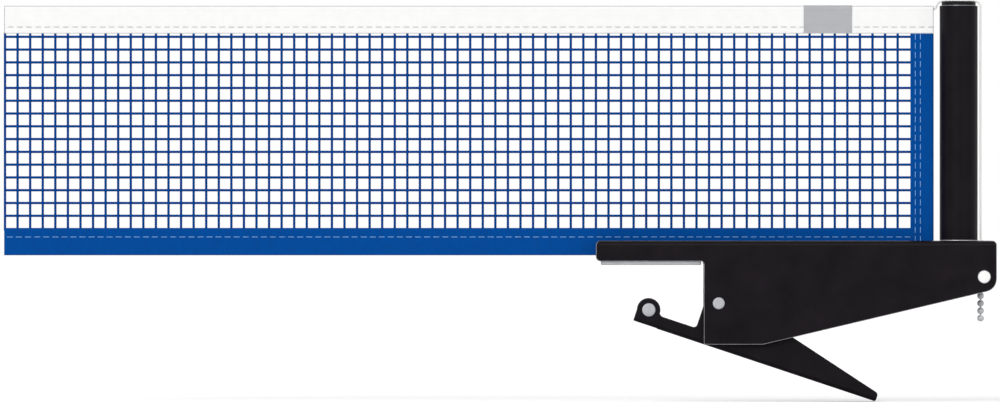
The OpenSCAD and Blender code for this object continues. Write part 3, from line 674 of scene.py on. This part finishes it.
def make_pad():
    """The jaw's rubber pad: ribs across its face, soft edges and corners."""
    low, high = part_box("jaw_pad")
    edge, corner, depth, pitch = 0.45 * MM, 1.2 * MM, 0.45 * MM, 2.4 * MM
    margin, slope = 1.6 * MM, 0.3 * MM
    rings = []
    for x in np.linspace(low.x, high.x, 196):
        near_end = min(x - low.x, high.x - x)
        over_corner = max(0.0, corner - near_end)
        half = high.y - (corner - math.sqrt(max(0.0, corner**2 - over_corner**2)))
        rib = 0.5 - 0.5 * math.cos(2 * math.pi * (x - low.x) / pitch)
        groove = depth * max(0.0, rib * 1.6 - 0.6) if near_end > pitch else 0.0
        soft = max(0.0, 1 - near_end / edge) ** 2 * edge
        face = low.z + soft
        side = [
            (-half, high.z),
            (-half, face + edge),
            (-half + 0.3 * edge, face + 0.3 * edge),
            (-half + edge, face),
            (-half + margin, face),
            (-half + margin + slope, face + groove),
        ]
        ring = side + [(0.0, face + groove)] + [(-y, z) for y, z in side[::-1]]
        rings.append([(x, y, z) for y, z in ring])
    shape = Shape().rings(rings)
    piece = shape.object("ribbed_jaw_pad", LOOKS["grey_rubber"], 50)
    riding(piece, "clamp", "grey_rubber", "jaw_pad")


make_tyre()
make_pad()

# ---- Torsion spring -------------------------------------------------------

PIVOT = next(j for j in frame["joints"] if j["name"] == "lever_pivot")["pos_m"]
WIRE_R, COIL_R, COIL_PITCH, COIL_TURNS = 0.9 * MM, 5.6 * MM, 2.3 * MM, 4
BODY_LEG, LEVER_LEG, LEVER_TILT = (math.radians(a) for a in (45, 37, 18.4))
# Sheet of the body and of the lever, and from the pivot to the lever floor's outer face.
SHEET_T, LEVER_T, LEVER_DEPTH = 2.0 * MM, 1.5 * MM, 25.7 * MM
LEG_FOOT, LEG_BEND = 6.0 * MM, 2.4 * MM  # each leg's flat end, and its rounding
COIL_POINTS = 28  # to a turn


def eased(points, reach, steps=6):
    """The path with every inner corner replaced by a short curve."""
    path = [points[0]]
    for before, corner, after in zip(points, points[1:], points[2:]):
        a = corner + unit(before - corner) * reach
        b = corner + unit(after - corner) * reach
        for t in np.linspace(0, 1, steps + 1):
            path.append((1 - t) ** 2 * a + 2 * t * (1 - t) * corner + t**2 * b)
    return path + [points[-1]]


def make_spring():
    """One round wire: a leg to the body, the coil, and a leg to the lever."""
    centre = np.array(PIVOT)
    sweep = 2 * math.pi * COIL_TURNS + math.pi - BODY_LEG - LEVER_LEG
    half_w = COIL_PITCH * sweep / (2 * math.pi) / 2
    first = math.pi / 2 + BODY_LEG
    coil = []
    for t in np.linspace(0, 1, int(sweep / (2 * math.pi) * COIL_POINTS)):
        angle = first + t * sweep
        round_pivot = COIL_R * (math.cos(angle) * X + math.sin(angle) * Z)
        coil.append(centre + round_pivot + half_w * (1 - 2 * t) * Y)
    web_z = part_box("clamp_body")[1].z - SHEET_T
    up_leg = math.cos(BODY_LEG) * X + math.sin(BODY_LEG) * Z
    body_top = coil[0] + up_leg * (web_z - WIRE_R - SEAT_GAP - coil[0][2]) / math.sin(BODY_LEG)
    low_v = -LEVER_DEPTH + LEVER_T + WIRE_R + SEAT_GAP
    along = coil[-1] - centre
    start_v = along[0] * math.sin(LEVER_TILT) + along[2] * math.cos(LEVER_TILT)
    down_leg = math.cos(LEVER_LEG) * X - math.sin(LEVER_LEG) * Z
    lever_end = coil[-1] + down_leg * (start_v - low_v) / math.sin(LEVER_LEG - LEVER_TILT)
    floor_dir = math.cos(LEVER_TILT) * X - math.sin(LEVER_TILT) * Z
    head = eased([body_top + LEG_FOOT * X, body_top, coil[0]], LEG_BEND)
    tail = eased([coil[-1], lever_end, lever_end + LEG_FOOT * floor_dir], LEG_BEND)
    path = head[:-1] + coil + tail[1:]
    piece = Shape().tube(path, WIRE_R, 14, Y).object("coiled_spring", LOOKS["spring_steel"], 60)
    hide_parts("torsion_spring")
    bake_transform(piece)


make_spring()

# ---- Cord, ferrule and bead chain -----------------------------------------

CORD_R, CORD_LAY = 0.65 * MM, 4.6 * MM
STRAND_LAY = CORD_LAY / 3  # one turn of a strand's own twist
STRAND_SWELL = 1.08  # strands are this much thicker than ones that would only touch
HEM_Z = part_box("hem_cord")[1].z - CORD_R


def smooth_path(points, step):
    """A smooth curve through the points, with a point about every step."""
    points = np.asarray(points, float)
    gaps = np.linalg.norm(np.diff(points, axis=0), axis=1)[:, None]
    slopes = np.diff(points, axis=0) / gaps
    turns = (slopes[:-1] * gaps[1:] + slopes[1:] * gaps[:-1]) / (gaps[:-1] + gaps[1:])
    tangents = np.vstack([slopes[:1], turns, slopes[-1:]])
    path = []
    for i, gap in enumerate(gaps[:, 0]):
        count = max(1, round(gap / step))
        t = np.arange(count)[:, None] / count
        path.append(
            (2 * t**3 - 3 * t**2 + 1) * points[i]
            + (t**3 - 2 * t**2 + t) * gap * tangents[i]
            + (3 * t**2 - 2 * t**3) * points[i + 1]
            + (t**3 - t**2) * gap * tangents[i + 1]
        )
    return np.vstack(path + [points[-1:]])


def rope(path, strands=3, sides=7):
    """A cord of strands that are laid round each other along a path, as a shape."""
    shape = Shape()
    side, out, length = across(path, Y)
    strand_r = CORD_R / (1 + 1 / math.sin(math.pi / strands)) * STRAND_SWELL
    for k in range(strands):
        angle = 2 * math.pi * (k / strands + length / CORD_LAY)
        turn = (CORD_R - strand_r) * (side * np.cos(angle)[:, None] + out * np.sin(angle)[:, None])
        shape.tube(path + turn, strand_r, sides, side, STRAND_LAY)
    return shape


def make_cord():
    """The tension cord, from the tape's end over the cap and down to the ferrule."""
    cap_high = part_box("cord_over_cap")[1]
    net_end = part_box("top_tape")[1].x
    post_low, post_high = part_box("post_tube")
    cord_x, top_z = cap_high.x - CORD_R, cap_high.z - CORD_R
    drop_low, drop_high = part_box("cord_drop")
    # from the tape's end, as steps along X and Z in mm
    rise = [(0, 0), (0.5, 0), (1, 0.2), (1.35, 0.7), (1.55, 1.4), (1.85, 2.3), (2.35, 3.1)]
    # from the cord's corner beside the post
    fall = [(-1.8, -0.35), (-0.8, -1.1), (-0.2, -2.2), (0, -3.2)]
    route = [(net_end + x * MM, 0, HEM_Z + z * MM) for x, z in rise]
    route += [
        (net_end + 3.1 * MM, 0, top_z - 0.6 * MM),
        (post_low.x + 0.5 * MM, 0, top_z - 0.15 * MM),
        (post_low.x + 1.1 * MM, 0, top_z),
        ((post_low.x + post_high.x) / 2, 0, top_z),
        (post_high.x - 1.6 * MM, 0, top_z),
    ]
    route += [(cord_x + x * MM, 0, top_z + z * MM) for x, z in fall]
    route += [(cord_x, 0, z) for z in (drop_high.z, (drop_high.z + drop_low.z) / 2, drop_low.z)]
    shape = rope(smooth_path(route, 0.4 * MM))
    piece = shape.object("tension_cord", LOOKS["cord"], 80)
    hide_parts("cord_over_cap", "cord_drop")
    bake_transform(piece)


def make_hem():
    """The cord in the tape's fold, along the whole net."""
    ends = [(x, 0, HEM_Z) for x in (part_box("hem_cord")[0].x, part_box("top_tape")[1].x)]
    shape = rope(smooth_path(ends, 0.6 * MM))
    riding(shape.object("hem_rope", LOOKS["cord"], 80), "net_carrier", "cord", "hem_cord")


def make_ferrule():
    """The crimped tube that joins cord and chain."""
    low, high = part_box("cord_ferrule")
    r, lip, height = (high.x - low.x) / 2, 0.35 * MM, high.z - low.z
    depth, mouth_half, floor_half = 0.3 * MM, 0.55 * MM, 0.2 * MM
    profile = [(POLE_R, 0), (r - lip, 0), (r, lip)]
    for share in (0.3, 0.55, 0.8):
        at = height * share
        profile += [
            (r, at - mouth_half),
            (r - depth, at - floor_half),
            (r - depth, at + floor_half),
            (r, at + mouth_half),
        ]
    profile += [(r, height - lip), (r - lip, height), (POLE_R, height)]
    shape = Shape().lathe(profile, ((low.x + high.x) / 2, 0, low.z), Z, 32)
    riding(shape.object("crimped_ferrule", LOOKS["beads"], 50), "clamp", "steel", "cord_ferrule")


BEAD_R, BEAD_PITCH, LINK_R = 2.0 * MM, 4.38 * MM, 0.45 * MM
HELD_BEADS, HANGING_BEADS = 4, 4


def bead(shape, x, z, top=True):
    """A hollow bead: a ball with a rolled rim round the link at each pole.

    Without its top it ends flat, just above its middle.
    """
    rim = math.radians(72)
    ball = [(BEAD_R * math.cos(a), BEAD_R * math.sin(a)) for a in np.linspace(-rim, rim, 17)]
    mouth = ball[-1]
    lip = [(mouth[0] - 0.1 * MM, mouth[1] + 0.02 * MM), (LINK_R * 1.05, mouth[1] - 0.12 * MM)]
    profile = [(r, -a) for r, a in lip[::-1]] + ball + (lip if top else [])
    if not top:
        profile = [(r, a) for r, a in profile if a < 0.2 * BEAD_R] + [(POLE_R, 0.2 * BEAD_R)]
    shape.lathe(profile, (x, 0, z), Z, 28)


def make_chain():
    """The beads held in the body, and those that hang from it."""
    upper_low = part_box("chain_upper")[0]
    tail_low, tail_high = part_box("chain_tail")
    x = (tail_low.x + tail_high.x) / 2
    shape = Shape()
    for i in range(HELD_BEADS):
        bead(shape, x, upper_low.z + BEAD_R + i * BEAD_PITCH, top=i < HELD_BEADS - 1)
    wire = [(LINK_R, 0), (LINK_R, (HELD_BEADS - 1) * BEAD_PITCH)]
    shape.lathe(wire, (x, 0, upper_low.z + BEAD_R), Z, 16)
    riding(shape.object("held_beads", LOOKS["beads"], 50), "clamp", "steel", "chain_upper")
    shape = Shape()
    for i in range(HANGING_BEADS):
        bead(shape, x, tail_low.z + BEAD_R + i * BEAD_PITCH)
    foot = (x, 0, tail_low.z + BEAD_R)
    shape.lathe([(LINK_R, 0), (LINK_R, tail_high.z - foot[2])], foot, Z, 16)
    end = [(POLE_R, -1.02 * BEAD_R + 0.1 * MM), (LINK_R, -0.95 * BEAD_R), (LINK_R, 0)]
    shape.lathe(end, foot, Z, 16)
    riding(shape.object("hanging_beads", LOOKS["beads"], 50), "chain_tail", "steel", "chain_tail")


make_cord()
make_hem()
make_ferrule()
make_chain()

# ---- Net ------------------------------------------------------------------

NET_LOW, NET_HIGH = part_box("top_tape")[0].x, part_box("top_tape")[1].x
TAPE_FOOT, TAPE_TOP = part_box("top_tape")[0].z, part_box("top_tape")[1].z
BAND_FOOT, BAND_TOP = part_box("low_band")[0].z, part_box("low_band")[1].z
SIDE_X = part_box("side_band")[0].x
STRING_R, STRING_LAY = 0.72 * MM, 2.4 * MM
STRING_SWAY = 0.34 * MM  # how far a string passes over and under the others
STRINGS_UP, STRINGS_ALONG = 72, 15
# The outermost strings, from their places in the photograph.
FIRST_UP, LAST_UP = px_x(4.6), px_x(898.0)
FIRST_ALONG, LAST_ALONG = px_z(215.8), px_z(36.66)
STITCH_LEN, THREAD_R, THREAD_LAY = 6.2 * PX, 0.2 * MM, 1.2 * MM
BAND_PITCH, EDGE_PITCH = 9.078 * PX, 9.213 * PX  # from stitch to stitch: low band, and the others
# Rows of stitches in the photograph, and the middle of one stitch of each, in pixels.
TAPE_ROW_PX, TAPE_STITCH_PX = 26.85, 10.1
BAND_ROW_PX, BAND_STITCH_PX = 237.0, 9.5
SIDE_ROWS_PX, SIDE_STITCH_PX = (915.6, 920.7), 45.75
TAPE_HALF_T, TAPE_ROLL_R, TAPE_WRAP = 0.9 * MM, 1.7 * MM, 20  # the wrap is in degrees
CALM, EASE = 40 * MM, 250 * MM  # flat for CALM beside the post, then billowing more over EASE
BILLOW_LEN, RIPPLE_LEN = 310 * MM, 83 * MM


def billow(x, z):
    """How far the taut net stands out of its plane: nothing near the post."""
    slack = np.clip((NET_HIGH - CALM - np.asarray(x)) / EASE, 0, 1) ** 2
    level = np.clip((np.asarray(z) - BAND_FOOT) / (TAPE_TOP - BAND_FOOT), 0, 1)
    wave = 0.9 * np.sin(2 * math.pi * np.asarray(x) / BILLOW_LEN + 0.8)
    ripple = 0.35 * np.sin(2 * math.pi * np.asarray(x) / RIPPLE_LEN + 2.1)
    return slack * (wave * (1 - 0.5 * level) + ripple * (1 - level)) * MM


def make_strings():
    """Every string of the net, passing over and under the ones that cross it."""
    ups = np.linspace(FIRST_UP, LAST_UP, STRINGS_UP)
    alongs = np.linspace(FIRST_ALONG, LAST_ALONG, STRINGS_ALONG)
    pitch_x, pitch_z = ups[1] - ups[0], alongs[1] - alongs[0]
    tuck = 1.6 * MM
    shape = Shape()
    heights = np.arange(BAND_TOP - tuck, TAPE_FOOT + tuck, pitch_z / 6)
    for i, x in enumerate(ups):
        sway = np.cos(math.pi * ((heights - FIRST_ALONG) / pitch_z + i)) * STRING_SWAY
        path = np.column_stack([np.full_like(heights, x), sway + billow(x, heights), heights])
        shape.tube(path, STRING_R, 8, X, STRING_LAY)
    runs = np.arange(FIRST_UP - 0.5 * MM, SIDE_X + tuck, pitch_x / 6)
    for j, z in enumerate(alongs):
        sway = -np.cos(math.pi * ((runs - FIRST_UP) / pitch_x + j)) * STRING_SWAY
        path = np.column_stack([runs, sway + billow(runs, z), np.full_like(runs, z)])
        shape.tube(path, STRING_R, 8, Z, STRING_LAY)
    piece = shape.object("net_strings", LOOKS["blue_string"], 80)
    riding(piece, "net_carrier", "blue_string", "net_mesh")


EDGE_LINE = 0.45 * MM  # width of the line along a strip's edges, on the tape a painted shade line


def fold_outline(half_t, roll_r, height, wrap, legs=14, arcs=16):
    """A folded strip's outer line as (y, depth below the fold), foot to foot."""
    angles = np.radians(np.linspace(180 + wrap, -wrap, arcs + 1))
    arc = np.column_stack([roll_r * np.cos(angles), roll_r * (1 - np.sin(angles))])
    # the short strip of each leg at the foot, where the tape's painted shade line goes
    foot_line_share = EDGE_LINE / height
    t = np.concatenate([[0], np.linspace(foot_line_share, 1, legs, endpoint=False)])[:, None]
    front = np.array([-half_t, height]) * (1 - t) + arc[0] * t
    return np.vstack([front, arc, (front * [-1, 1])[::-1]])


def inset(outline, cloth):
    """The outline moved in by the cloth's thickness."""
    ahead = unit(np.gradient(outline, axis=0))
    return outline + cloth * np.column_stack([-ahead[:, 1], ahead[:, 0]])


class Strip:
    """A strip of cloth folded over an edge, with its rows of stitches.

    The rows lie at depths below the fold, and first is the middle of one stitch.
    """

    def __init__(self, outline, cloth, place, rows=(), pitch=1.0, first=0.0, puckers=0.1):
        self.outline, self.cloth, self.place = outline, cloth, place
        self.rows, self.pitch, self.first, self.puckers = rows, pitch, first, puckers * MM

    def pucker(self, depth, run):
        """How far the stitches draw the cloth in at a place on it."""
        pull = 0.0
        for row in self.rows:
            beat = 0.55 + 0.45 * np.cos(2 * math.pi * (run - self.first) / self.pitch)
            pull = pull + np.exp(-(((depth - row) / (1.3 * MM)) ** 2)) * beat * self.puckers
            pull = pull - np.exp(-(((depth - row) / (3.4 * MM)) ** 2)) * 0.35 * self.puckers
        return pull

    def surface_y(self, depth, run, side):
        """The cloth's outer face at a place on it, on one side of the strip."""
        front = self.outline[: len(self.outline) // 2]
        y = np.interp(depth, front[::-1, 1], front[::-1, 0])
        return side * (-y - self.pucker(depth, run))

    def cloth_mesh(self, name, run0, run1, materials, step=1.33 * MM):
        """The folded cloth. A second look paints grey shade along its foot, cut ends and fold crest."""
        inner = inset(self.outline, self.cloth)
        ring = np.vstack([self.outline, inner[::-1]])
        half = len(self.outline)
        count = max(2, round((run1 - run0) / step)) + 1
        runs = np.linspace(run0 + EDGE_LINE, run1 - EDGE_LINE, count)
        runs = np.concatenate([[run0], runs, [run1]])
        rings = []
        for run in runs:
            y = ring[:, 0] - np.sign(ring[:, 0]) * self.pucker(ring[:, 1], run)
            rings.append([self.place(yy, d, run) for yy, d in zip(y, ring[:, 1])])
        shape = Shape().rings(rings, caps=False)
        if isinstance(materials, list):
            # painted shade on the tape: grey faces below the fold's crest, at its foot and cut ends
            depth = (ring[:, 1] + np.roll(ring[:, 1], -1)) / 2
            crest_shade = (depth > 0.1 * EDGE_LINE) & (depth < EDGE_LINE)
            foot = np.isin(np.arange(2 * half), (0, half - 2, half - 1, 2 * half - 1))
            line = (crest_shade | foot).astype(int).tolist()
            ends = [1] * (2 * half)
            shape.slots = ends + line * (len(runs) - 3) + ends
        for ring_at, turn in ((0, 1), (len(runs) - 1, -1)):
            base = ring_at * 2 * half
            for k in range(half - 1):
                across_k = base + 2 * half - 1 - k  # the inner point behind outer point k
                face = (base + k, across_k, across_k - 1, base + k + 1)
                shape.add_face(face[::turn], [(0, 0)] * 4)
        return shape.object(name, materials, 60)

    def stitches(self, run0, run1):
        """One thread dash for each stitch, on both sides of the strip."""
        # how far a stitch stands out of the cloth, at shares of its length
        rise = np.array([-0.3, 0.05, 0.16, 0.18, 0.18, 0.16, 0.05, -0.3]) * MM
        share = np.array([0, 0.07, 0.18, 0.36, 0.64, 0.82, 0.93, 1])
        before = math.ceil((self.first - run0) / self.pitch)
        after = math.ceil((run1 - self.first) / self.pitch)
        shape = Shape()
        for row, side in itertools.product(self.rows, (-1, 1)):
            for i in range(-before, after + 1):
                middle = self.first + i * self.pitch
                low = max(run0, middle - STITCH_LEN / 2)
                high = min(run1, middle + STITCH_LEN / 2)
                if high - low < STITCH_LEN / 3:
                    continue
                runs = low + (high - low) * share
                path = [
                    self.place(self.surface_y(row, run, side) + side * lift, row, run)
                    for run, lift in zip(runs, rise)
                ]
                shape.tube(path, THREAD_R, 6, Y, THREAD_LAY)
        return shape


def along_net(edge_z, direction):
    """Places a strip that runs along X, folded at edge_z."""

    def place(y, depth, run):
        z = edge_z + direction * depth
        return (run, y + float(billow(run, z)), z)

    return place


def up_net(edge_x):
    """Places a strip that runs up Z, folded at edge_x."""

    def place(y, depth, run):
        return (edge_x - depth, y, run)

    return place


def make_tape():
    """The white top tape, folded over the hem cord."""
    height = TAPE_TOP - TAPE_FOOT
    strip = Strip(
        fold_outline(TAPE_HALF_T, TAPE_ROLL_R, height, TAPE_WRAP),
        cloth=0.5 * MM,
        place=along_net(TAPE_TOP, -1),
        rows=[TAPE_TOP - px_z(TAPE_ROW_PX)],
        pitch=EDGE_PITCH,
        first=px_x(TAPE_STITCH_PX),
        puckers=0.12,
    )
    # the second look paints grey shade lines on the tape's fold, foot and ends
    looks = [LOOKS["white_fabric"], LOOKS["tape_painted_shade"]]
    tape = strip.cloth_mesh("folded_tape", NET_LOW, NET_HIGH, looks)
    riding(tape, "net_carrier", "white_fabric", "top_tape")
    thread = strip.stitches(NET_LOW, NET_HIGH).object("tape_stitches", LOOKS["white_thread"], 80)
    riding(thread, "net_carrier", "white_fabric")


def make_low_band():
    """The blue band along the net's foot, folded over the mesh."""
    height, half, tuck = BAND_TOP - BAND_FOOT, 1.0 * MM, 1.5 * MM
    strip = Strip(
        fold_outline(half, half, height, 0),
        cloth=0.55 * MM,
        place=along_net(BAND_FOOT, 1),
        rows=[px_z(BAND_ROW_PX) - BAND_FOOT],
        pitch=BAND_PITCH,
        first=px_x(BAND_STITCH_PX),
        puckers=0.14,
    )
    band = strip.cloth_mesh("folded_low_band", NET_LOW, SIDE_X + tuck, LOOKS["blue_fabric"])
    riding(band, "net_carrier", "blue_fabric", "low_band")
    thread = strip.stitches(NET_LOW, SIDE_X).object("low_band_stitches", LOOKS["blue_thread"], 80)
    riding(thread, "net_carrier", "blue_fabric")


def make_side_band():
    """The blue band up the net's end, folded over the mesh."""
    width, half = NET_HIGH - SIDE_X, 1.12 * MM
    strip = Strip(
        fold_outline(half, half, width, 0),
        cloth=0.5 * MM,
        place=up_net(NET_HIGH),
        rows=[NET_HIGH - px_x(column) for column in SIDE_ROWS_PX],
        pitch=EDGE_PITCH,
        first=px_z(SIDE_STITCH_PX),
        puckers=0.12,
    )
    top = TAPE_FOOT - 0.05 * MM
    band = strip.cloth_mesh("folded_side_band", BAND_FOOT, top, LOOKS["blue_fabric"])
    riding(band, "net_carrier", "blue_fabric", "side_band")
    thread = strip.stitches(BAND_FOOT, top).object("side_band_stitches", LOOKS["blue_thread"], 80)
    riding(thread, "net_carrier", "blue_fabric")


def make_label():
    """The grey label, folded over the tape and a little larger than it."""
    low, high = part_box("tape_label")
    height, grow, margin = TAPE_TOP - TAPE_FOOT, 0.3 * MM, 0.35 * MM
    outline = fold_outline(TAPE_HALF_T + grow, TAPE_ROLL_R + grow, height + grow, TAPE_WRAP)
    strip = Strip(outline, 0.24 * MM, along_net(TAPE_TOP + grow, -1))
    ends = low.x + margin, high.x - margin
    label = strip.cloth_mesh("woven_label", *ends, LOOKS["grey_fabric"])
    riding(label, "net_carrier", "grey_fabric", "tape_label")


make_strings()
make_tape()
make_low_band()
make_side_band()
make_label()

# ---- Floor, world and lamps -----------------------------------------------

FLOOR_DROP, FLOOR_HALF = 0.5 * MM, 30.0
WORLD_LIGHT = 0.42
# Each sun: the way to it, its strength and the angle that softens its shadow.
SUNS = {
    "key": ((-0.5, -1.3, 0.8), 1.75, 24),
    "fill": ((0.9, -1.2, 0.1), 0.4, 40),
    "back": ((0.3, 1.0, 0.8), 0.9, 40),
}


def make_floor():
    """A pale floor that shows white where it is lit and keeps the shadow."""
    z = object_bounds()[0].z - FLOOR_DROP
    corners = [(x * FLOOR_HALF, y * FLOOR_HALF, z) for x, y in ((-1, -1), (1, -1), (1, 1), (-1, 1))]
    shape = Shape().rings([corners[:2], corners[3:1:-1]], closed=False)
    nodes = Nodes("floor_white")
    nodes.surface(Base_Color=srgb(232, 232, 232), Roughness=0.9, Specular_IOR_Level=0.1)
    path = nodes.add("ShaderNodeLightPath")
    seen = nodes.math("MULTIPLY", path.outputs["Is Camera Ray"], 0.3)
    nodes.set(nodes.shader, "Emission Color", (1, 1, 1, 1))
    nodes.set(nodes.shader, "Emission Strength", seen)
    shape.object("floor", nodes.material)


def make_world():
    """Even light, and white wherever the world is seen or mirrored."""
    world = bpy.data.worlds.new("studio")
    world.use_nodes = True
    tree = world.node_tree
    background = tree.nodes["Background"]
    path = tree.nodes.new("ShaderNodeLightPath")
    seen = path.outputs["Is Camera Ray"]
    for ray in ("Is Glossy Ray", "Is Transmission Ray"):
        either = tree.nodes.new("ShaderNodeMath")
        either.operation = "MAXIMUM"
        tree.links.new(seen, either.inputs[0])
        tree.links.new(path.outputs[ray], either.inputs[1])
        seen = either.outputs[0]
    strength = tree.nodes.new("ShaderNodeMapRange")
    strength.inputs["To Min"].default_value = WORLD_LIGHT
    strength.inputs["To Max"].default_value = 1.0
    tree.links.new(seen, strength.inputs["Value"])
    tree.links.new(strength.outputs["Result"], background.inputs["Strength"])
    background.inputs["Color"].default_value = (1, 1, 1, 1)
    bpy.context.scene.world = world


def make_suns():
    """A lamp for each of the suns."""
    for name, (way, strength, soft) in SUNS.items():
        data = bpy.data.lights.new(name, "SUN")
        data.energy, data.angle = strength, math.radians(soft)
        sun = bpy.data.objects.new(name, data)
        sun.rotation_euler = Vector(way).to_track_quat("Z", "Y").to_euler()
        bpy.context.scene.collection.objects.link(sun)


make_floor()
make_world()
make_suns()
bpy.context.scene.view_settings.view_transform = "Standard"
